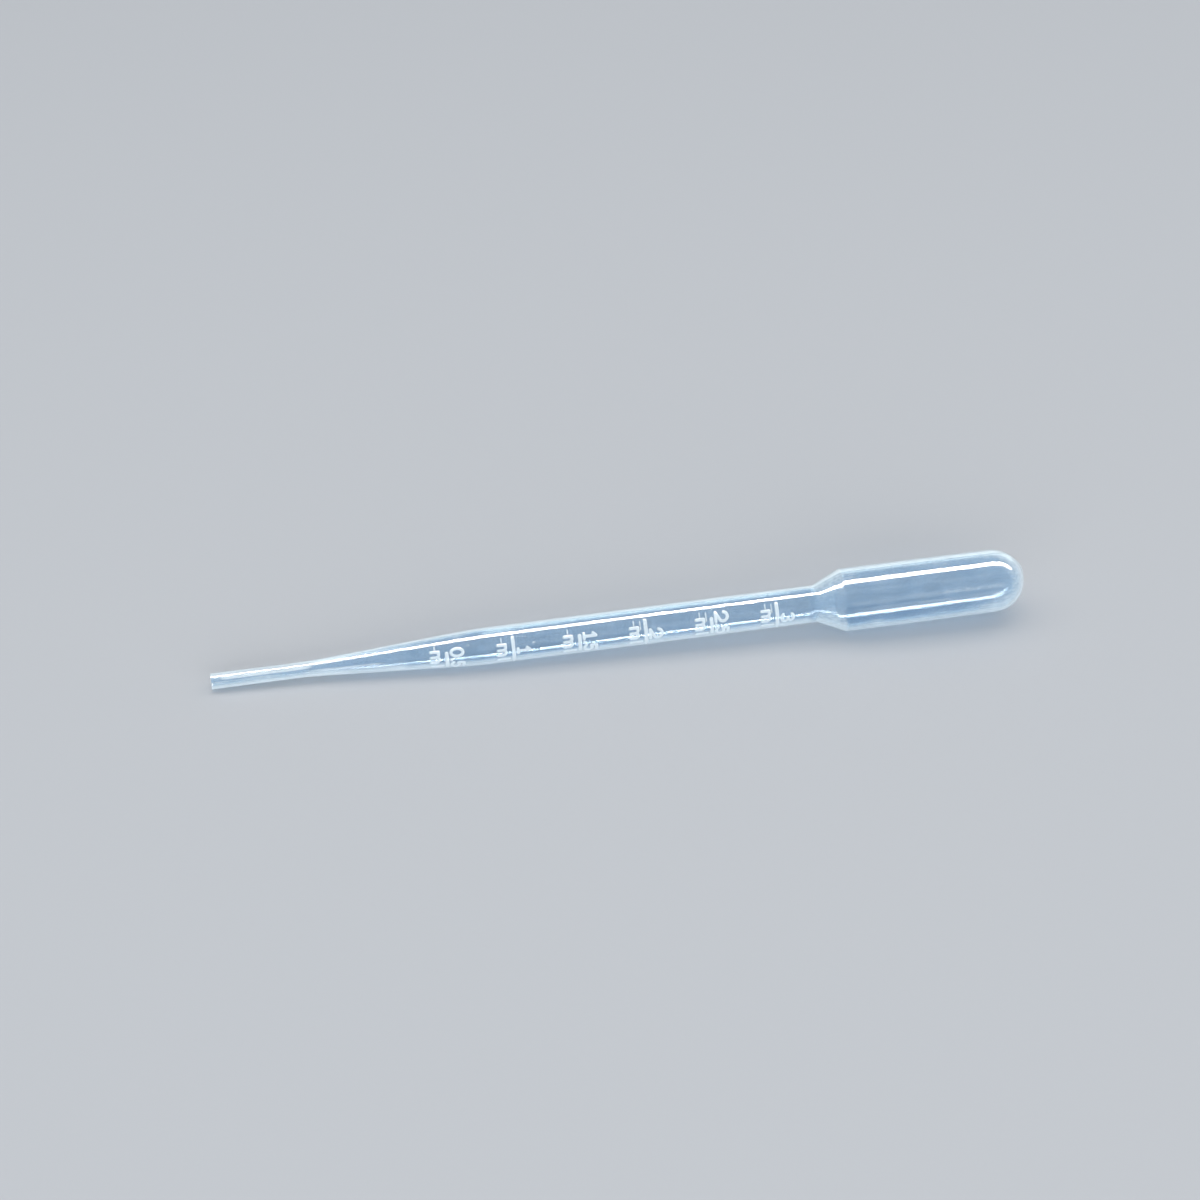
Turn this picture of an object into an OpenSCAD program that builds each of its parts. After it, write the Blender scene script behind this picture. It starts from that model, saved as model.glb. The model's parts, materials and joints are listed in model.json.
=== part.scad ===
// Graduated dropper pipette, blown in one piece and lying on its side.
// The body is drawn upright along its own axis, with the tip's cut end at zero, and then laid down.

/* [Tip] */
// Outside diameter of the straight tip tube
tip_d = 3.2; // [2.6:0.1:4.2]
// Wall of the tip tube
tip_wall = 0.4; // [0.25:0.05:0.6]
// Length of the straight tip tube
tip_len = 19; // [12:0.5:26]

/* [Taper] */
// Length of the long taper from the tip tube to the stem
taper_len = 33.4; // [22:0.1:45]
// Radius of the soft bend at each end of the long taper
taper_bend_r = 40; // [20:5:80]

/* [Stem] */
// Outside diameter of the graduated stem
stem_d = 7.5; // [6:0.1:9]
// Wall of the stem
stem_wall = 0.28; // [0.2:0.02:0.5]
// Length of the straight stem
stem_len = 68.3; // [45:0.1:90]

/* [Bulb] */
// Outside diameter of the squeeze bulb
bulb_d = 12.8; // [10.5:0.1:16]
// Wall of the bulb
bulb_wall = 0.3; // [0.2:0.02:0.6]
// Length of the cone between the stem and the bulb
shoulder_len = 5.5; // [4:0.1:9]
// Radius of the bend at each end of that cone
shoulder_bend_r = 1.6; // [0.6:0.1:2.4]
// Length of the bulb's straight part
bulb_len = 30.8; // [20:0.1:40]

/* [Pinch seam] */
// Length of the weld across the top of the bulb, where the mould pinched the tube shut
seam_len = 7; // [4:0.1:9]
// Width of that weld
seam_w = 0.5; // [0.3:0.05:0.8]
// Height of that weld above the bulb
seam_h = 0.12; // [0.08:0.02:0.2]

/* [Graduation] */
// Volume from one mark to the next, in microlitres
mark_volume = 500; // [250:50:1000]
// Width of a mark along the stem
mark_w = 0.6; // [0.4:0.05:0.9]
// Height of a mark above the surface
mark_h = 0.14; // [0.08:0.02:0.2]
// Length of a whole millilitre mark round the stem
long_mark = 6.3; // [4:0.1:8]
// Length of a half millilitre mark round the stem
short_mark = 3.7; // [2:0.1:4.5]
// Turn of the marks from straight up, towards the front
mark_turn = 81; // [0:1:120]
// Least distance from the last mark to the bulb's cone
mark_margin = 4; // [2:0.5:8]

/* [Hidden] */
$fn = 96;

// How deep a mark or the weld reaches into the wall that carries it
sink = 0.1;
// Straight pieces that each bend of the outline is made of
bend_steps = 8;

tip_r = tip_d / 2;
stem_r = stem_d / 2;
bulb_r = bulb_d / 2;
bore_r = tip_r - tip_wall;
stem_bore_r = stem_r - stem_wall;
bulb_bore_r = bulb_r - bulb_wall;

// Heights along the axis where one stretch ends and the next begins
taper_top = tip_len + taper_len;
stem_top = taper_top + stem_len;
shoulder_top = stem_top + shoulder_len;
bulb_top = shoulder_top + bulb_len;

// Outside of the long taper
taper_slope = (stem_r - tip_r) / taper_len;

// Marks stand where the liquid held below them reaches each step of volume
bore_growth = (stem_bore_r - bore_r) / taper_len;
tip_volume = PI * pow(bore_r, 2) * tip_len;
taper_volume = PI * (pow(stem_bore_r, 3) - pow(bore_r, 3)) / (3 * bore_growth);
mark_step = mark_volume / (PI * pow(stem_bore_r, 2));
first_mark = height_holding(mark_volume);
mark_count = floor((stem_top - mark_margin - first_mark) / mark_step) + 1;

// The laid body touches the bench below its bulb, and at its tip or at the foot of its stem
stem_bend = bend_centre([tip_r, tip_len], [stem_r, taper_top], [stem_r, stem_top], taper_bend_r);
bulb_bend = bend_centre([stem_r, stem_top], [bulb_r, shoulder_top], [bulb_r, bulb_top], shoulder_bend_r);
lay_on_tip = slope_of_tangent([tip_r, 0], 0, bulb_bend, shoulder_bend_r);
lay_on_stem = slope_of_tangent(stem_bend, taper_bend_r, bulb_bend, shoulder_bend_r);
lay = min(lay_on_tip, lay_on_stem);
tip_height = shoulder_bend_r + bulb_bend.x * cos(lay) - bulb_bend.y * sin(lay);
left_end = -tip_r * sin(lay);
right_end = bulb_top * cos(lay) + bulb_r + seam_h;
middle = (left_end + right_end) / 2;

// Slope against the axis of the line that touches the outer sides of two arcs
function slope_of_tangent(centre1, r1, centre2, r2) =
    let (across = centre2 - centre1)
    atan2(across.x, across.y) + asin((r2 - r1) / norm(across));

// Height along the axis below which the tip and the taper, or the stem too, hold volume v
function height_holding(v) =
    v < tip_volume + taper_volume
        ? tip_len + (taper_bore_holding(v) - bore_r) / bore_growth
        : taper_top + (v - tip_volume - taper_volume) / (PI * pow(stem_bore_r, 2));

// Bore radius of the taper at the height below which tip and taper hold volume v
function taper_bore_holding(v) =
    pow(pow(bore_r, 3) + 3 * max(v - tip_volume, 0) * bore_growth / PI, 1 / 3);

function outer_r(z) = tip_r + taper_slope * (min(max(z, tip_len), taper_top) - tip_len);
function outer_lean(z) = z > tip_len && z < taper_top ? atan(taper_slope) : 0;

// Unit vector from a to b
function towards(a, b) = (b - a) / norm(b - a);

// Angle through which the outline turns at corner p, on its way from a to b
function turn_at(a, p, b) = acos(towards(a, p) * towards(p, b));

// Centre of the arc of radius r that touches both sides of corner p
function bend_centre(a, p, b, r) =
    p + r / cos(turn_at(a, p, b) / 2) * towards([0, 0], towards(p, a) + towards(p, b));

// Points of that arc, each found by turning the first spoke about the centre
function bend(a, p, b, r) =
    let (
        centre = bend_centre(a, p, b, r),
        start = p + r * tan(turn_at(a, p, b) / 2) * towards(p, a),
        side = sign(cross(p - a, b - p)),
        spoke = start - centre
    )
    [for (i = [0:bend_steps])
        let (angle = side * turn_at(a, p, b) * i / bend_steps)
        centre + [
            spoke.x * cos(angle) - spoke.y * sin(angle),
            spoke.x * sin(angle) + spoke.y * cos(angle)
        ]
    ];

// Half outline, from the tip's end to the top of the dome, for one skin of the wall
module half_outline(r_tip, r_stem, r_bulb) {
    foot = [r_tip, 0];
    taper_foot = [r_tip, tip_len];
    taper_head = [r_stem, taper_top];
    shoulder_foot = [r_stem, stem_top];
    shoulder_head = [r_bulb, shoulder_top];
    head = [r_bulb, bulb_top];
    polygon(concat(
        [[0, 0], foot],
        bend(foot, taper_foot, taper_head, taper_bend_r),
        bend(taper_foot, taper_head, shoulder_foot, taper_bend_r),
        bend(taper_head, shoulder_foot, shoulder_head, shoulder_bend_r),
        bend(shoulder_foot, shoulder_head, head, shoulder_bend_r),
        [head, [0, bulb_top]]
    ));
    translate([0, bulb_top])
        intersection() {
            circle(r = r_bulb);
            square(2 * r_bulb);
        }
}

// The blown wall: the space between the outer and the inner skin, turned about the axis
module wall() {
    rotate_extrude()
        difference() {
            half_outline(tip_r, stem_r, bulb_r);
            half_outline(bore_r, stem_bore_r, bulb_bore_r);
        }
}

// One raised mark with chamfered long edges, bent round the stem or taper at height z
module mark(z, length) {
    sweep = length / outer_r(z) * 180 / PI;
    half_w = mark_w / 2;
    chamfer = min(mark_h, half_w / 2);
    rotate([0, 0, 180 + mark_turn - sweep / 2])
        rotate_extrude(angle = sweep)
            translate([outer_r(z), z])
                rotate(-outer_lean(z))
                    polygon([
                        [-sink, -half_w],
                        [0, -half_w],
                        [mark_h, chamfer - half_w],
                        [mark_h, half_w - chamfer],
                        [0, half_w],
                        [-sink, half_w]
                    ]);
}

// Marks from the tip upwards, a long one at each whole millilitre
module graduation() {
    for (i = [1:mark_count])
        mark(first_mark + (i - 1) * mark_step, i % 2 == 0 ? long_mark : short_mark);
}

// Raised weld over the dome, in the plane where the two halves of the mould met
module pinch_seam() {
    translate([0, 0, bulb_top])
        rotate([0, 0, mark_turn])
            intersection() {
                difference() {
                    sphere(r = bulb_r + seam_h);
                    sphere(r = bulb_r - sink);
                }
                translate([-seam_w / 2, -seam_len / 2, 0])
                    cube([seam_w, seam_len, bulb_d]);
            }
}

module pipette() {
    color([0.80, 0.89, 0.95, 0.75])
        translate([-middle, 0, tip_height])
            rotate([0, 90 - lay, 0]) {
                wall();
                graduation();
                pinch_seam();
            }
}

pipette();
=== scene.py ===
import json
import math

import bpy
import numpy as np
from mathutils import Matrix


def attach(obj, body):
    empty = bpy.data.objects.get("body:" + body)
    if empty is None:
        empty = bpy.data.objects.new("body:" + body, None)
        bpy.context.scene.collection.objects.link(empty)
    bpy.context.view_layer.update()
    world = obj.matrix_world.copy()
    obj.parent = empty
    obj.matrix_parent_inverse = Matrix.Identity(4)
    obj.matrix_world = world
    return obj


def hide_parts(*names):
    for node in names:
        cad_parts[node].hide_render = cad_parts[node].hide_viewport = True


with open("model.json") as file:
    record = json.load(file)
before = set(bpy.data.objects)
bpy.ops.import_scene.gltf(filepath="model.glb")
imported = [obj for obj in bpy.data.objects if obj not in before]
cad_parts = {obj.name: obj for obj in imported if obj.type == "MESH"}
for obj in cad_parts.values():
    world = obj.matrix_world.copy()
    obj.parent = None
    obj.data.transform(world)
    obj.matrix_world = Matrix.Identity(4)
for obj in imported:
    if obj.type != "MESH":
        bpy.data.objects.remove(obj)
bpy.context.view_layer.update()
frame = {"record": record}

# Looks of the graduated dropper pipette: the blown shell with its raised figures, the milky
# polyethylene, the floor, the lamps and the camera. Lengths are millimetres along the body's own
# axis, which starts at the cut end of the tip, until a mesh is written in metres. Turns round the
# body are degrees from straight up towards the front. Floor, lamps and camera stand in metres.

MM = 0.001

# Where the body lies: its axis and its cut end come from the two round mounts of the record.
MOUNTS = {mount["name"]: mount for mount in frame["record"]["mounts"]}
AXIS = np.array(MOUNTS["bulb"]["axis"])
AXIS = AXIS / np.linalg.norm(AXIS)
LEAN = math.asin(AXIS[2])
UP = np.cross(AXIS, [0.0, 1.0, 0.0])
FRONT = np.array([0.0, -1.0, 0.0])
TIP_END = np.array(MOUNTS["tip"]["pos_m"]) / MM - AXIS * MOUNTS["tip"]["dims"]["length_mm"] / 2
BULB_END = np.array(MOUNTS["bulb"]["pos_m"]) / MM + AXIS * MOUNTS["bulb"]["dims"]["length_mm"] / 2

# Outside radii, and the places along the axis where one stretch ends and the next begins
TIP_R = MOUNTS["tip"]["dims"]["r_mm"]
STEM_R = 3.75
BULB_R = MOUNTS["bulb"]["dims"]["r_mm"]
TIP_TOP = 19.0
TAPER_TOP = 52.4
STEM_TOP = 120.7
SHOULDER_TOP = 126.2
BULB_TOP = float((BULB_END - TIP_END) @ AXIS)

# Lengths over which the outline's corners are rounded
TAPER_BLEND = 6.0
SHOULDER_BLEND = 0.5

# How far the blown shell stays below its nominal radius, at places along the axis
SHRINK_AT = [0.0, TIP_TOP, TAPER_TOP, 95.0, STEM_TOP, SHOULDER_TOP, 139.0, BULB_TOP]
SHRINK_BY = [0.0, 0.06, 0.07, 0.0, 0.04, 0.07, 0.02, 0.10]

# Walls at the same kind of places, and the rounding of the cut end's two edges
WALL_AT = [0.0, TIP_TOP, TAPER_TOP, STEM_TOP, SHOULDER_TOP]
WALL = [0.40, 0.40, 0.28, 0.28, 0.30]
BULB_WALL = WALL[-1]
RIM_ROUND = 0.06

# Haze of one skin seen straight on, at places along the axis
HAZE_AT = [0.0, 16.0, 26.0, 42.0, TAPER_TOP, 120.2, 120.9, 125.8, 126.5, 150.0, 163.0]
HAZE = [0.22, 0.20, 0.12, 0.06, 0.045, 0.045, 0.15, 0.15, 0.045, 0.045, 0.11]

# Haze that raised figures and their edges add, haze of the cut end, and what a parting ridge adds
# for each millimetre of its height
FIGURE_HAZE = 2.4
FIGURE_EDGE_HAZE = 2.2
RIM_HAZE = 1.5
RIDGE_HAZE = 2.0

# Lighter streaks along the body, made in the wall's haze: turn, width, start, end and added haze.
# Several are painted light. On the tip, the streak at 41 degrees is a painted highlight, and those at
# -8 and 118 degrees are painted light along its upper and lower edges. On the taper, those at 12 and
# 69.5 degrees are painted highlights and the one at 92 degrees is a painted reflection. On the stem,
# the one at 107 degrees is a painted reflection along its lower side. The rest are pale bands.
STREAKS_AND_PAINTED_LIGHT = [
    (41.0, 0.36, 2.5, 18.5, 1.8),
    (-8.0, 1.00, -1.0, 23.0, 0.40),
    (118.0, 1.00, -1.0, 25.0, 0.60),
    (64.0, 0.20, 0.5, 14.0, 0.15),
    (69.5, 0.30, 20.0, 34.0, 0.40),
    (92.0, 1.20, 18.0, 38.0, 0.14),
    (12.0, 0.90, 20.0, 25.0, 0.50),
    (60.0, 0.60, 54.0, 120.0, 0.12),
    (107.0, 1.70, 22.0, 119.0, 0.14),
    (62.0, 0.90, 127.0, 158.0, 0.17),
    (41.0, 0.70, 127.0, 157.0, 0.07),
    (75.5, 0.80, 127.0, 158.0, 0.15),
]
STREAK_FADE = 1.0

# Graduation: the ticks, and the figures and letters beside them. Heights are those of the strokes'
# outer edges, and spaces are between the edges of neighbours. FIGURE_GAP and UNIT_DROP run from
# the middle of the tick to the feet of its figures and of its letters. The shifts are across the
# body, one for each mark.
FIRST_TICK = 46.34
TICK_STEP = 13.218
FIGURES = ["0.5", "1", "1.5", "2", "2.5", "3"]
FIGURE_SHIFT = [0.20, -0.10, 0.15, 0.0, -0.30, 0.3]
TICK_SHIFT = [0.35, 0.0, 0.0, 0.0, 0.0, 0.0]
UNIT = "ml"
LONG_TICK = 6.3
SHORT_TICK = 3.7
TICK_WIDTH = 0.54
RELIEF = 0.14
MARK_TURN = 81.0
STROKE = 0.43
STROKE_EDGE = 0.09
FIGURE_HEIGHT = 2.8
FIGURE_GAP = 0.65
FIGURE_SPACE = 0.20
UNIT_SPACE = 0.70
UNIT_DROP = 3.30
UNIT_HEIGHT = 1.95
UNIT_STEM_HEIGHT = 2.55

# How far a mark's signs reach at most from the middle of its tick: millimetres along the body and
# degrees round it
MARK_LENGTH = 4.5
MARK_SWEEP = 60.0

# Small specks in the wall: place, turn and radius. The last five stand in a row.
SPECKS = [(50.57, 42.6, 0.16), (63.56, 59.0, 0.17)]
SPECKS += [(59.9 + 0.55 * k, 33.5 + k, 0.10) for k in range(5)]
SPECK_HAZE = 0.9
SPECK_EDGE = 0.6

# Painted reflections of the ticks: faint second lines beside the marks, as the far wall would mirror
# them. Number of the first tick that has one, then the line's two ends as (across from the middle of
# the marks, along from the tick)
TICK_REFLECTION_LINES = [(0, (-2.95, -2.3), (-2.10, -2.3)), (3, (-2.80, -1.05), (-1.20, -1.05))]
TICK_REFLECTION_WIDTH = 0.24
TICK_REFLECTION_EDGE = 0.05
TICK_REFLECTION_HAZE = 1.3

# Fine ridges where the two halves of the mould met, and the weld where it pinched the bulb shut
PARTING_TURN = MARK_TURN + 90.0
PARTING_WIDTH = 0.24
PARTING_EDGE = 0.08
PARTING_HEIGHT = 0.035
WELD_LENGTH = 7.0
WELD_WIDTH = 0.5
WELD_HEIGHT = 0.12
WELD_SIDE_EDGE = 0.12
WELD_END_EDGE = 0.4

# Steps from ring to ring of the mesh: millimetres on the body and degrees on the dome. A zone is
# its start, its end and the step inside it.
RING_STEP = 2.4
MARK_RING_STEP = 0.10
MARK_MARGIN = 0.2
CORNER_REACH = 0.6
CORNER_RING_STEP = 0.12
RIM_ZONE = (RIM_ROUND, 0.3, 0.1)
DOME_STEP = 4.5
WELD_ZONE = (84.0, 90.0, 1.2)
INNER_RING_STEP = 3.0
INNER_CORNER_STEP = 0.2
INNER_DOME_RINGS = 20
ROUND_RINGS = 4

# Steps from one lengthwise line of the mesh to the next, in degrees
LINE_STEP = 6.0
MARK_ZONE = (MARK_TURN - 50.0, MARK_TURN + 50.0, 1.45)
RIDGE_REACH = 2.0
RIDGE_LINE_STEP = 0.9

# Milkiness of the plastic: how fast it grows towards the silhouette, the least cosine that counts,
# its uneven patches, and its clouds and lengthwise lines
GRAZING = 2.8
LEAST_COSINE = 0.08
PATCH_HAZE = 0.5
PATCH_FLOOR = 0.48
PATCH_FADE = 2.0
CLOUD_SHARE = 0.6
LINE_SHARE = 1.4
LEAST_CLOUD = 0.3

# Colours and gloss of the plastic
THIN_MILK = (0.42, 0.68, 0.97, 1)
THICK_MILK = (0.86, 0.94, 0.98, 1)
WHITENING = 3.0
LIGHT_PASSED_ON = 0.35
CLEAR_BLUE = (0.825, 0.888, 0.935, 1)
WHITE = (1, 1, 1, 1)
GLOSS_ROUGHNESS = 0.06
HEAD_ON_GLOSS = 0.04
GLOSS_RISE = 5.0

# Fine surface of the plastic and of the floor
BUMP_STRENGTH = 0.05
BUMP_DEPTH = 0.0002
WAVE_RELIEF = 0.5
GRAIN_FLOOR = 0.72
GRAIN_EDGE = 12.0
GRAIN_RELIEF = 0.25
FLOOR_COLOUR = (0.58, 0.60, 0.63, 1)
FLOOR_HALF = 3.0

# Light of the room, and tints of the lamps that are seen as reflections
ROOM_COLOUR = (0.94, 0.97, 1.0, 1)
ROOM_LEVEL = 0.52
WARM = (1.0, 0.86, 0.75)
COOL = (0.86, 1.0, 0.97)
COOL_TAPER = (0.86, 1.0, 0.96)
COOL_STEM = (0.82, 1.0, 0.96)

# Camera: where it stands as seen from its aim, and its lens
VIEW_AZIMUTH = -99.342
VIEW_ELEVATION = 37.0
VIEW_REACH = 0.7296
VIEW_AIM = (-0.00175, 0.01623, 0.0)
LENS = 108.0
SENSOR = 36.0
CLIP = (0.01, 20.0)

TRANSPARENT_BOUNCES = 24


# ---------------------------------------------------------------- outline of the shell

def ramp(x, blend):
    """0 before the corner and x after it, with a parabola over the blend length between the two."""
    inside = np.clip(x + blend / 2, 0.0, blend)
    return inside ** 2 / (2 * blend) + np.maximum(x - blend / 2, 0.0)


def outer_radius(s):
    """Tip radius plus one ramp for each corner of the outline, less the shell's small shrinkage."""
    taper = (STEM_R - TIP_R) / (TAPER_TOP - TIP_TOP)
    cone = (BULB_R - STEM_R) / (SHOULDER_TOP - STEM_TOP)
    widening = ramp(s - TIP_TOP, TAPER_BLEND) - ramp(s - TAPER_TOP, TAPER_BLEND)
    shoulder = ramp(s - STEM_TOP, SHOULDER_BLEND) - ramp(s - SHOULDER_TOP, SHOULDER_BLEND)
    return TIP_R + taper * widening + cone * shoulder - np.interp(s, SHRINK_AT, SHRINK_BY)


def wall_at(s):
    """Thickness of the wall, which changes in straight lines between the stretches."""
    return np.interp(s, WALL_AT, WALL)


def spread(start, end, coarse, zones, growth=0.35, samples=40001):
    """Stations from start to end. The step between them is a zone's own step inside that zone, grows
    in proportion to the distance outside it, and is never over the coarse step. The number of steps
    before a place is the sum of short pieces of the way, each divided by the step there."""
    fine = np.linspace(start, end, samples)
    step = np.full(fine.shape, coarse)
    for low, high, size in zones:
        outside = np.maximum(np.maximum(low - fine, fine - high), 0.0)
        step = np.minimum(step, size + growth * outside)
    count = np.concatenate([[0.0], np.cumsum(np.diff(fine) * 2 / (step[1:] + step[:-1]))])
    total = math.ceil(count[-1])
    return np.interp(np.linspace(0.0, count[-1], total + 1), count, fine)


# ---------------------------------------------------------------- strokes of the figures

def arc(x, y, rx, ry, start, end, count=14):
    """Points on an ellipse about (x, y), from the start angle to the end angle in degrees."""
    angle = np.radians(np.linspace(start, end, count))
    return np.column_stack([x + rx * np.cos(angle), y + ry * np.sin(angle)])


def line(*points):
    """Points of a broken line."""
    return np.array(points, dtype=float)


def figure_strokes(sign):
    """(width, centre lines of the strokes) of one figure, point or letter, drawn upright from (0, 0).
    Heights and widths here are those between the strokes' centre lines."""
    h = FIGURE_HEIGHT - STROKE
    small = UNIT_HEIGHT - STROKE
    tall = UNIT_STEM_HEIGHT - STROKE
    wide = 1.85
    if sign == "0":
        return 1.5, [arc(0.75, h / 2, 0.75, h / 2, 0, 360, 28)]
    if sign == "1":
        return 1.05, [line((0.0, h - 0.55), (0.55, h), (0.55, 0)), line((0.05, 0), (1.05, 0))]
    if sign == "2":
        bow = arc(wide / 2, h - wide / 2, wide / 2, wide / 2, 165, -35)
        return wide, [np.vstack([bow, line((0, 0), (wide, 0))])]
    if sign == "3":
        top = arc(0.8, 0.755 * h, 0.75, 0.245 * h, 150, -90)
        low = arc(0.8, 0.265 * h, 0.85, 0.265 * h, 90, -150)
        return wide, [top, low]
    if sign == "5":
        bowl = arc(0.68, 0.31 * h, 0.82, 0.31 * h, 115, -150)
        return 1.5, [np.vstack([line((1.4, h), (0.18, h), (0.10, 0.56 * h)), bowl])]
    if sign == ".":
        return 0.12, [line((0, 0), (0.12, 0))]
    if sign == "m":
        r = 0.54
        arches = [arc(r + 2 * r * k, small - r, r, r, 180, 0) for k in (0, 1)]
        legs = [np.vstack([arch, [arch[-1, 0], 0]]) for arch in arches]
        return 4 * r, [line((0, 0), (0, small)), *legs]
    return 0.0, [line((0, 0), (0, tall))]


def words(text, base, space, centre=0.0):
    """Centre lines of a row of signs, side by side with their middle at centre and feet at base."""
    drawn = [figure_strokes(sign) for sign in text]
    step = STROKE + space
    left = centre - (sum(width for width, _ in drawn) + step * (len(drawn) - 1)) / 2
    lines = []
    for width, strokes in drawn:
        lines += [stroke + [left, base + STROKE / 2] for stroke in strokes]
        left += width + step
    return lines


def distance(x, y, stroke):
    """Least distance from each point to a broken line, from its foot on each piece of the line."""
    near = np.full(x.shape, np.inf)
    for a, b in zip(stroke[:-1], stroke[1:]):
        along = b - a
        share = np.clip(((x - a[0]) * along[0] + (y - a[1]) * along[1]) / (along @ along), 0, 1)
        near = np.minimum(near, np.hypot(x - a[0] - share * along[0], y - a[1] - share * along[1]))
    return near


def plateau(near, half, edge):
    """1 within half less edge of a centre line, 0 beyond half plus edge, and a smooth step between."""
    t = np.clip((half + edge - near) / (2 * edge), 0, 1)
    return t * t * (3 - 2 * t)


def tick_places():
    """Places of the ticks along the axis: the first one, and one step on for each that follows."""
    return FIRST_TICK + TICK_STEP * np.arange(len(FIGURES))


def graduation_relief(s, turns, radius):
    """Height of the ticks, figures and letters over the shell, on a grid of places and turns: full
    inside a stroke, with a smooth step down over its edge. Ways across are measured round the skin."""
    height = np.zeros(radius.shape)
    x = radius * np.radians(turns - MARK_TURN)
    cols = np.flatnonzero(np.abs(turns - MARK_TURN) < MARK_SWEEP)
    for k, (at, text) in enumerate(zip(tick_places(), FIGURES)):
        rows = np.flatnonzero(np.abs(s - at) < MARK_LENGTH)
        part = np.ix_(rows, cols)
        across = x[part]
        up = np.broadcast_to(s[rows, None] - at, across.shape)
        half = (LONG_TICK if k % 2 else SHORT_TICK) / 2 - TICK_WIDTH / 2
        tick = line((-half, 0), (half, 0)) + [TICK_SHIFT[k], 0]
        found = plateau(distance(across, up, tick), TICK_WIDTH / 2, STROKE_EDGE)
        figures = words(text, FIGURE_GAP, FIGURE_SPACE, FIGURE_SHIFT[k])
        for stroke in figures + words(UNIT, -UNIT_DROP, UNIT_SPACE):
            near = distance(across, up, stroke)
            found = np.maximum(found, plateau(near, STROKE / 2, STROKE_EDGE))
        height[part] = RELIEF * found
    return height


def parting_ridge(radius, turn):
    """Height of the two parting ridges, from the distance round the body to the nearer one."""
    off_seam = np.abs((turn - PARTING_TURN + 90) % 180 - 90)
    return PARTING_HEIGHT * plateau(radius * np.radians(off_seam), PARTING_WIDTH / 2, PARTING_EDGE)


def weld_height(radius, turn):
    """Height of the weld: full within a bar that lies across the dome's top."""
    beside = radius * np.sin(np.radians(turn - PARTING_TURN))
    ahead = radius * np.cos(np.radians(turn - PARTING_TURN))
    bar = plateau(np.abs(beside), WELD_WIDTH / 2, WELD_SIDE_EDGE)
    return WELD_HEIGHT * bar * plateau(np.abs(ahead), WELD_LENGTH / 2, WELD_END_EDGE)


# ---------------------------------------------------------------- haze of the wall

def figure_haze(relief):
    """Haze of the raised figures: one part grows with their height, and one is greatest half way up."""
    share = relief / RELIEF
    return FIGURE_HAZE * share + FIGURE_EDGE_HAZE * 4 * share * (1 - share)


def streak_and_painted_light_haze(s, radius, turn):
    """Haze of the streaks, among them painted highlights and painted reflections: each fades over its
    width round the body, and along it over a millimetre either side of its ends."""
    total = np.zeros(radius.shape)
    for at, width, start, end, amount in STREAKS_AND_PAINTED_LIGHT:
        beside = radius * np.radians(np.abs((turn - at + 180) % 360 - 180))
        ends = plateau(np.abs(s - (start + end) / 2), (end - start) / 2, STREAK_FADE)
        total += amount * plateau(beside, width / 2, width / 2) * ends
    return total


def speck_haze(s, radius, turn):
    """Haze of the specks: full near each one's middle and fading over its rim."""
    total = np.zeros(radius.shape)
    for at, round_to, size in SPECKS:
        near = np.hypot(s - at, radius * np.radians(turn - round_to))
        total += SPECK_HAZE * plateau(near, size, SPECK_EDGE * size)
    return total


def painted_tick_reflection_haze(s, radius, turn):
    """Haze of the ticks' painted reflections, faint second lines full within their width and fading over
    a tenth of a millimetre.
    """
    total = np.zeros(radius.shape)
    across = radius * np.radians(turn - MARK_TURN)
    for first, start, end in TICK_REFLECTION_LINES:
        for at in tick_places()[first:]:
            near = distance(across, s - at, line(start, end))
            total += TICK_REFLECTION_HAZE * plateau(near, TICK_REFLECTION_WIDTH / 2, TICK_REFLECTION_EDGE)
    return total


# ---------------------------------------------------------------- the shell's mesh

def place_on_body(s, radius, turn):
    """Point in metres: along the axis by s, then out by the radius in the direction that is turned
    from straight up towards the front."""
    turn = np.radians(turn)
    out = np.cos(turn)[..., None] * UP + np.sin(turn)[..., None] * FRONT
    return (TIP_END + s[..., None] * AXIS + radius[..., None] * out) * MM


def all_round(column, turns):
    """A value for each ring, repeated at every turn round it."""
    return np.repeat(column[:, None], len(turns), 1)


def line_turns():
    """Turns of the shell's lengthwise lines, which are close together at the marks and the ridges."""
    ridges = [PARTING_TURN + 180 * k for k in (-1, 0, 1)]
    near_ridges = [(at - RIDGE_REACH, at + RIDGE_REACH, RIDGE_LINE_STEP) for at in ridges]
    return spread(0.0, 360.0, LINE_STEP, [MARK_ZONE] + near_ridges)[:-1]


def corner_zones(step):
    """Zones of fine rings about the two corners of the cone between stem and bulb."""
    return [(at - CORNER_REACH, at + CORNER_REACH, step) for at in (STEM_TOP, SHOULDER_TOP)]


def add_dome(s, radius, reach, rise):
    """Rings with a dome's rings after them. At each angle of rise, the place goes on by the dome's
    reach times the sine, and the radius is the last one times the cosine."""
    rise = np.radians(rise)[1:-1]
    s = np.concatenate([s, BULB_TOP + reach * np.sin(rise)])
    return s, np.concatenate([radius, radius[-1] * np.cos(rise)])


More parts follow.
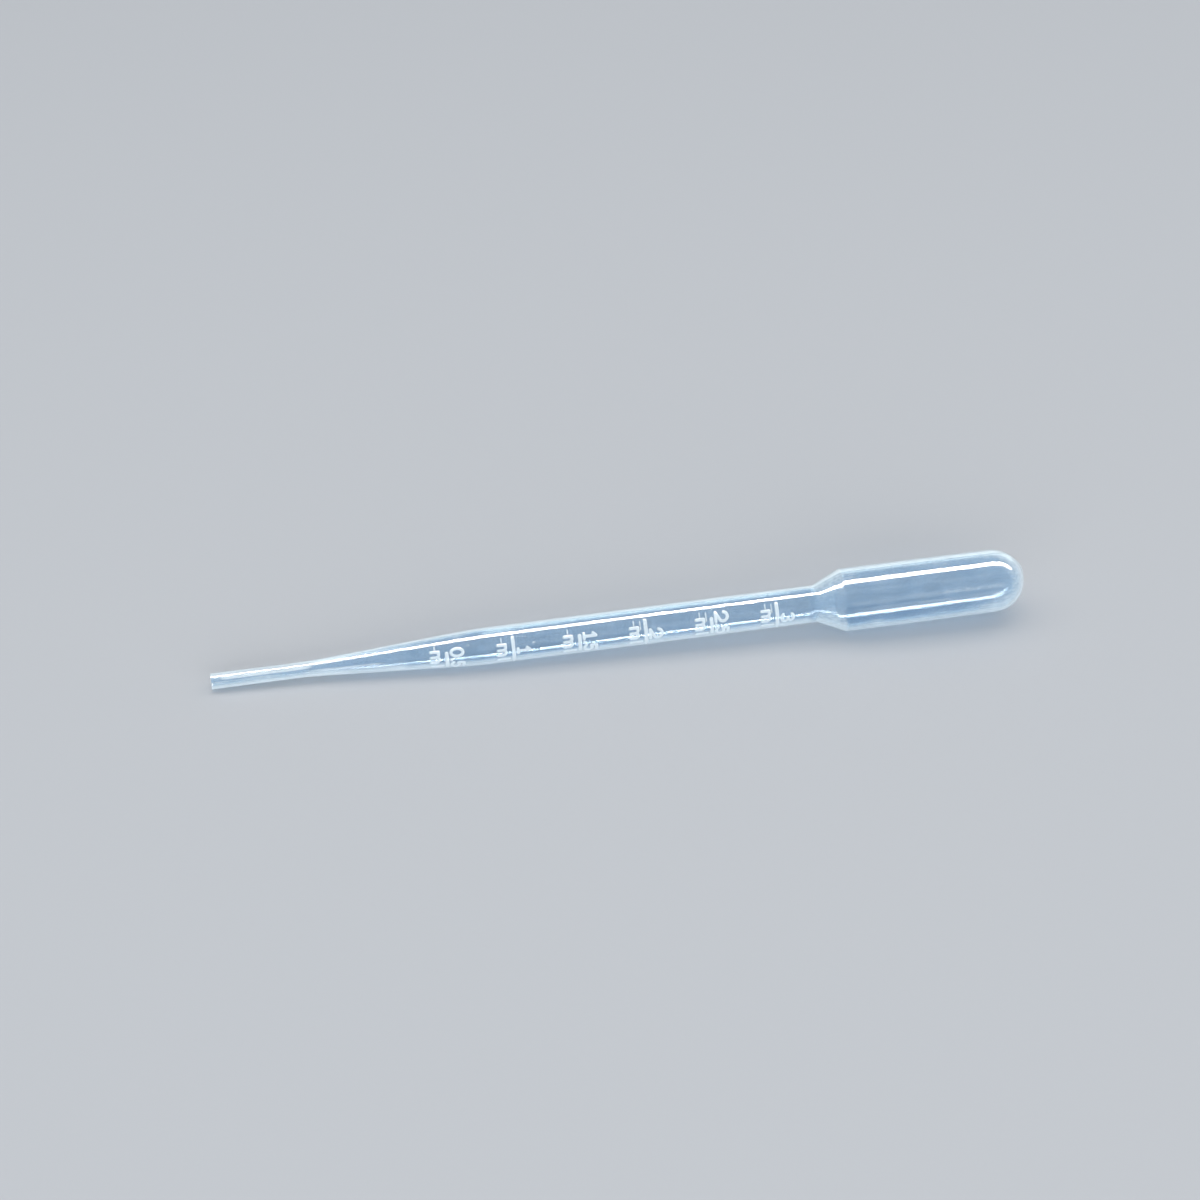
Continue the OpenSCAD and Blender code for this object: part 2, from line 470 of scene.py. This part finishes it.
def outer_skin(turns):
    """Points and haze of the outer skin, from the rim to the dome's last ring. Figures and ridges
    add to the radius. The weld stands out along the dome's own normal, the cosine of whose rise is
    the ring's share of the bulb's radius."""
    below = UNIT_DROP + MARK_MARGIN
    above = FIGURE_GAP + FIGURE_HEIGHT + MARK_MARGIN
    marks = [(at - below, at + above, MARK_RING_STEP) for at in tick_places()]
    s = spread(RIM_ROUND, BULB_TOP, RING_STEP, marks + corner_zones(CORNER_RING_STEP) + [RIM_ZONE])
    s, ring_radius = add_dome(s, outer_radius(s), BULB_R, spread(0.0, 90.0, DOME_STEP, [WELD_ZONE]))
    dome = s > BULB_TOP
    radius = all_round(ring_radius, turns)
    turn = np.repeat(turns[None], len(s), 0)
    relief = graduation_relief(s, turns, radius)
    ridge = parting_ridge(radius, turn)
    weld = weld_height(radius[dome], turn[dome])
    rise = np.arccos(np.clip(radius[dome] / outer_radius(BULB_TOP), 0, 1))
    along = all_round(s, turns)
    along[dome] += weld * np.sin(rise)
    outside = radius + relief + ridge
    outside[dome] += weld * np.cos(rise)
    haze = np.interp(along, HAZE_AT, HAZE) + figure_haze(relief)
    haze[~dome] += RIDGE_HAZE * ridge[~dome]
    # The streaks add pale bands and painted highlights and reflections, and the ticks' painted
    # reflections add faint second lines.
    for added_haze in (streak_and_painted_light_haze, speck_haze, painted_tick_reflection_haze):
        haze += added_haze(along, radius, turn)
    return place_on_body(along, outside, turn), haze


def plain_rings(s, radius, haze, turns):
    """Points and haze of rings that are the same all the way round."""
    turn = np.repeat(turns[None], len(s), 0)
    return place_on_body(all_round(s, turns), all_round(radius, turns), turn), all_round(haze, turns)


def cut_end(turns):
    """Points and haze of the rim: a quarter round on each skin, with the flat cut between them."""
    quarter = np.radians(np.linspace(0, 90, ROUND_RINGS))
    back = quarter[::-1]
    outer = outer_radius(0.0) - RIM_ROUND + RIM_ROUND * np.cos(quarter)
    inner = outer_radius(RIM_ROUND) - wall_at(RIM_ROUND) + RIM_ROUND - RIM_ROUND * np.cos(back)
    radius = np.concatenate([outer[1:], inner[:-1]])
    s = RIM_ROUND - RIM_ROUND * np.concatenate([np.sin(quarter)[1:], np.sin(back)[:-1]])
    return plain_rings(s, radius, np.full(len(s), RIM_HAZE), turns)


def inner_skin(turns):
    """Points and haze of the inner skin, one wall further in than the outer one."""
    s = spread(RIM_ROUND, BULB_TOP, INNER_RING_STEP, corner_zones(INNER_CORNER_STEP))
    rise = np.linspace(0, 90, INNER_DOME_RINGS)
    s, radius = add_dome(s, outer_radius(s) - wall_at(s), BULB_R - BULB_WALL, rise)
    return plain_rings(s, radius, np.interp(s, HAZE_AT, HAZE), turns)


def rings_to_mesh(name, rings, haze, first_top, last_top):
    """One closed surface from rings of points in order, with quads between neighbours and a fan of
    triangles to the top point beyond each end. The haze goes into a point attribute."""
    count, width = rings.shape[:2]
    points = np.vstack([rings.reshape(-1, 3), first_top, last_top])
    index = np.arange(count * width).reshape(count, width)
    beside = np.roll(index, -1, 1)
    quads = np.stack([index[:-1], index[1:], beside[1:], beside[:-1]], -1).reshape(-1, 4)
    first_fan = np.stack([index[0], beside[0], np.full(width, count * width)], -1)
    last_fan = np.stack([beside[-1], index[-1], np.full(width, count * width + 1)], -1)
    loops = np.concatenate([quads.ravel(), first_fan.ravel(), last_fan.ravel()])
    sizes = np.concatenate([np.full(len(quads), 4), np.full(2 * width, 3)])
    mesh = bpy.data.meshes.new(name)
    mesh.vertices.add(len(points))
    mesh.vertices.foreach_set("co", points.ravel())
    mesh.loops.add(len(loops))
    mesh.loops.foreach_set("vertex_index", loops.astype(np.int32))
    mesh.polygons.add(len(sizes))
    mesh.polygons.foreach_set("loop_start", (np.cumsum(sizes) - sizes).astype(np.int32))
    mesh.polygons.foreach_set("use_smooth", np.ones(len(sizes), bool))
    layer = mesh.attributes.new("haze", "FLOAT", "POINT")
    layer.data.foreach_set("value", np.append(haze.ravel(), [HAZE[-1], HAZE[-1]]))
    mesh.update()
    mesh.validate()
    return mesh


def make_shell(material):
    """The closed shell: the outer skin from the dome back to the tip, the rim, and the inner skin on
    to its own dome. The top points lie on the axis, the outer one at the weld's full height."""
    turns = line_turns()
    outer, outer_haze = outer_skin(turns)
    rim, rim_haze = cut_end(turns)
    inner, inner_haze = inner_skin(turns)
    rings = np.concatenate([outer[::-1], rim, inner])
    haze = np.concatenate([outer_haze[::-1], rim_haze, inner_haze])
    outer_top = (TIP_END + AXIS * (BULB_TOP + BULB_R + WELD_HEIGHT)) * MM
    inner_top = (TIP_END + AXIS * (BULB_TOP + BULB_R - BULB_WALL)) * MM
    mesh = rings_to_mesh("pipette_shell", rings, haze, outer_top, inner_top)
    shell = bpy.data.objects.new("pipette_shell", mesh)
    bpy.context.scene.collection.objects.link(shell)
    mesh.materials.append(material)
    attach(shell, "root")
    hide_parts("pipette")


# ---------------------------------------------------------------- materials

class Nodes:
    """Short calls for building one material's node tree."""

    def __init__(self, name):
        """An empty tree in a new material."""
        self.material = bpy.data.materials.new(name)
        self.material.use_nodes = True
        self.tree = self.material.node_tree
        self.tree.nodes.clear()

    def add(self, kind, inputs=None, **settings):
        """A node of that kind, with its settings, and its inputs as values or as links from outputs."""
        node = self.tree.nodes.new("ShaderNode" + kind)
        for key, value in settings.items():
            setattr(node, key, value)
        for key, value in (inputs or {}).items():
            if isinstance(value, bpy.types.NodeSocket):
                self.tree.links.new(value, node.inputs[key])
            else:
                node.inputs[key].default_value = value
        return node

    def math(self, operation, a, b=0.0, clamp=False):
        """Result of one operation on a and b, kept between 0 and 1 where clamp is set."""
        return self.add("Math", {0: a, 1: b}, operation=operation, use_clamp=clamp).outputs[0]

    def noise(self, coords, scale, detail):
        """Cloudy noise with about that many waves to a metre."""
        inputs = {"Vector": coords, "Scale": scale, "Detail": detail}
        return self.add("TexNoise", inputs).outputs["Fac"]

    def drawn_out(self, coords, share, scale, detail):
        """Noise with only that share of its waves along x, which is the body's way but for its lean, so
        that it runs in lines. The lean turns the stretched pattern."""
        inputs = {"Vector": coords, "Rotation": (0, LEAN, 0), "Scale": (share, 1, 1)}
        return self.noise(self.add("Mapping", inputs).outputs[0], scale, detail)

    def bump(self, height):
        """Normal of a surface with that fine relief."""
        inputs = {"Height": height, "Strength": BUMP_STRENGTH, "Distance": BUMP_DEPTH}
        return self.add("Bump", inputs).outputs[0]

    def finish(self, surface):
        """The material, with that shader as its surface."""
        self.add("OutputMaterial", {"Surface": surface})
        return self.material


def moulded_relief(n, coords):
    """Weighted sum of fine waves along the body and of small grains where a finer noise is highest."""
    waves = n.drawn_out(coords, share=0.12, scale=900.0, detail=3.0)
    peaks = n.math("SUBTRACT", n.noise(coords, scale=1500.0, detail=0.0), GRAIN_FLOOR)
    grains = n.math("MULTIPLY", peaks, GRAIN_EDGE, clamp=True)
    return n.math("ADD", n.math("MULTIPLY", waves, WAVE_RELIEF), n.math("MULTIPLY", grains, GRAIN_RELIEF))


def patch_haze(n, coords, straight):
    """Haze of the wall's uneven patches: what a noise has over its floor, times the cosine of the view
    to a power, so that the patches fade towards the silhouette."""
    over = n.math("SUBTRACT", n.noise(coords, scale=260.0, detail=3.0), PATCH_FLOOR)
    patches = n.math("MAXIMUM", n.math("MULTIPLY", over, PATCH_HAZE), 0.0)
    return n.math("MULTIPLY", patches, n.math("POWER", straight, PATCH_FADE))


def milky_share(n, coords, facing):
    """Share of the light that the wall scatters: 1 - exp(-haze * cloudiness / cosine ** GRAZING). The
    haze is the mesh's own plus the patches. The cloudiness is a weighted sum of broad clouds and of
    fine lines along the body."""
    straight = n.math("MAXIMUM", n.math("SUBTRACT", 1.0, facing), LEAST_COSINE)
    # The mesh's haze also holds the painted highlights and painted reflections of the streaks and the
    # ticks' painted reflections.
    own_haze = n.add("Attribute", attribute_name="haze").outputs["Fac"]
    haze = n.math("ADD", own_haze, patch_haze(n, coords, straight))
    clouds = n.math("MULTIPLY", n.noise(coords, scale=160.0, detail=2.0), CLOUD_SHARE)
    lines = n.math("MULTIPLY", n.drawn_out(coords, share=0.03, scale=2200.0, detail=2.0), LINE_SHARE)
    cloudy = n.math("MAXIMUM", n.math("ADD", clouds, lines), LEAST_CLOUD)
    way = n.math("POWER", straight, GRAZING)
    depth = n.math("MULTIPLY", n.math("DIVIDE", haze, way), n.math("MULTIPLY", cloudy, -1.0))
    return n.math("SUBTRACT", 1.0, n.math("EXPONENT", depth), clamp=True)


def gloss_share(n, facing):
    """Schlick's share: the head-on part, plus the rest times the fifth power of 1 less the cosine."""
    rest = n.math("MULTIPLY", n.math("POWER", facing, GLOSS_RISE), 1.0 - HEAD_ON_GLOSS)
    return n.math("ADD", HEAD_ON_GLOSS, rest)


def polyethylene():
    """Thin milky plastic under a clear gloss. What is not scattered passes straight through with a blue
    tint. The scattered share grows with the way through the wall, so the middle stays clear and
    blue, and the silhouette and the raised figures turn white."""
    n = Nodes("milky_polyethylene")
    coords = n.add("TexCoord").outputs["Object"]
    facing = n.add("LayerWeight", {"Blend": 0.5}).outputs["Facing"]
    opacity = milky_share(n, coords, facing)
    bump = n.bump(moulded_relief(n, coords))
    whiteness = n.math("MULTIPLY", opacity, WHITENING, clamp=True)
    milk = n.add("Mix", {0: whiteness, 6: THIN_MILK, 7: THICK_MILK}, data_type="RGBA").outputs[2]
    diffuse = n.add("BsdfDiffuse", {"Color": milk, "Normal": bump}).outputs[0]
    through = n.add("BsdfTranslucent", {"Color": milk, "Normal": bump}).outputs[0]
    scatter = n.add("MixShader", {0: LIGHT_PASSED_ON, 1: diffuse, 2: through}).outputs[0]
    clear = n.add("BsdfTransparent", {"Color": CLEAR_BLUE}).outputs[0]
    body = n.add("MixShader", {0: opacity, 1: clear, 2: scatter}).outputs[0]
    finish = {"Color": WHITE, "Roughness": GLOSS_ROUGHNESS, "Normal": bump}
    gloss = n.add("BsdfGlossy", finish).outputs[0]
    return n.finish(n.add("MixShader", {0: gloss_share(n, facing), 1: body, 2: gloss}).outputs[0])


def floor_material():
    """Matt pale sheet: a diffuse colour with a very fine grain."""
    n = Nodes("pale_floor")
    coords = n.add("TexCoord").outputs["Object"]
    bump = n.bump(n.noise(coords, scale=900.0, detail=3.0))
    return n.finish(n.add("BsdfDiffuse", {"Color": FLOOR_COLOUR, "Normal": bump}).outputs[0])


# ---------------------------------------------------------------- floor, lamps and camera

def make_floor():
    """A flat square far wider than the view, at the height where the body lies."""
    half = FLOOR_HALF
    corners = [(-half, -half, 0), (half, -half, 0), (half, half, 0), (-half, half, 0)]
    mesh = bpy.data.meshes.new("floor")
    mesh.from_pydata(corners, [], [(0, 1, 2, 3)])
    floor = bpy.data.objects.new("floor", mesh)
    bpy.context.scene.collection.objects.link(floor)
    mesh.materials.append(floor_material())


def area_lamp(name, ends, span, angle, reach, radiance, colour=(1, 1, 1), soft=False):
    """A rectangular lamp from one x to another, facing the body. It stands at an angle from the front
    horizon over the top, as far off as its reach in metres, and fills a span of degrees. Its power is
    pi times its radiance times its area. A soft lamp lights the body, and any other is only seen
    as a reflection in it."""
    width = ends[1] - ends[0]
    height = 2 * reach * math.tan(math.radians(span / 2))
    data = bpy.data.lights.new(name, "AREA")
    data.shape = "RECTANGLE"
    data.size = width
    data.size_y = height
    data.energy = radiance * math.pi * width * height
    data.color = colour
    lamp = bpy.data.objects.new(name, data)
    bpy.context.scene.collection.objects.link(lamp)
    turn = math.radians(angle)
    lamp.location = ((ends[0] + ends[1]) / 2, -reach * math.cos(turn), reach * math.sin(turn))
    lamp.rotation_euler = (math.pi / 2 - turn, 0, 0)
    lamp.visible_diffuse = soft
    lamp.visible_glossy = not soft
    lamp.visible_camera = False


def light_the_scene():
    """Two soft lamps and the room give the level. The other five are seen only as reflections: a narrow
    strip overhead, a panel behind the whole body, and lower panels that widen its reflection on the
    stem, at the stem's foot and on the taper."""
    world = bpy.data.worlds.new("room")
    world.use_nodes = True
    back = world.node_tree.nodes["Background"]
    back.inputs["Color"].default_value = ROOM_COLOUR
    back.inputs["Strength"].default_value = ROOM_LEVEL
    bpy.context.scene.world = world
    area_lamp("overhead_soft", (-1.2, 1.2), span=41, angle=100, reach=0.80, radiance=1.0, soft=True)
    area_lamp("front_soft", (-1.0, 1.0), span=28, angle=15, reach=1.20, radiance=3.0, soft=True)
    area_lamp("overhead_strip", (-1.2, 1.2), span=12.5, angle=103.3, reach=0.60, radiance=58.0,
              colour=WARM)
    area_lamp("back_panel", (-0.26, 1.5), span=33, angle=161, reach=1.20, radiance=2.6, colour=COOL)
    area_lamp("stem_panel", (0.02, 0.206), span=15, angle=139, reach=1.25, radiance=5.0,
              colour=COOL_STEM)
    area_lamp("stem_foot_panel", (-0.01, 0.045), span=13, angle=124.5, reach=1.30, radiance=5.0,
              colour=COOL_STEM)
    area_lamp("taper_panel", (-0.25, -0.13), span=26, angle=131, reach=1.30, radiance=4.8,
              colour=COOL_TAPER)


def make_camera():
    """A long lens that looks down on the body from the front, a little from the tip's side. It stands
    at an azimuth and an elevation from its aim and looks back along the same line."""
    azimuth = math.radians(VIEW_AZIMUTH)
    elevation = math.radians(VIEW_ELEVATION)
    level = math.cos(elevation)
    away = np.array([level * math.cos(azimuth), level * math.sin(azimuth), math.sin(elevation)])
    data = bpy.data.cameras.new("camera")
    data.lens = LENS
    data.sensor_width = SENSOR
    data.clip_start, data.clip_end = CLIP
    camera = bpy.data.objects.new("camera", data)
    camera.location = np.array(VIEW_AIM) + VIEW_REACH * away
    camera.rotation_euler = (math.pi / 2 - elevation, 0.0, azimuth + math.pi / 2)
    bpy.context.scene.collection.objects.link(camera)
    bpy.context.scene.camera = camera


bpy.context.scene.view_settings.view_transform = "Standard"
bpy.context.scene.cycles.transparent_max_bounces = TRANSPARENT_BOUNCES
make_shell(polyethylene())
make_floor()
light_the_scene()
make_camera()
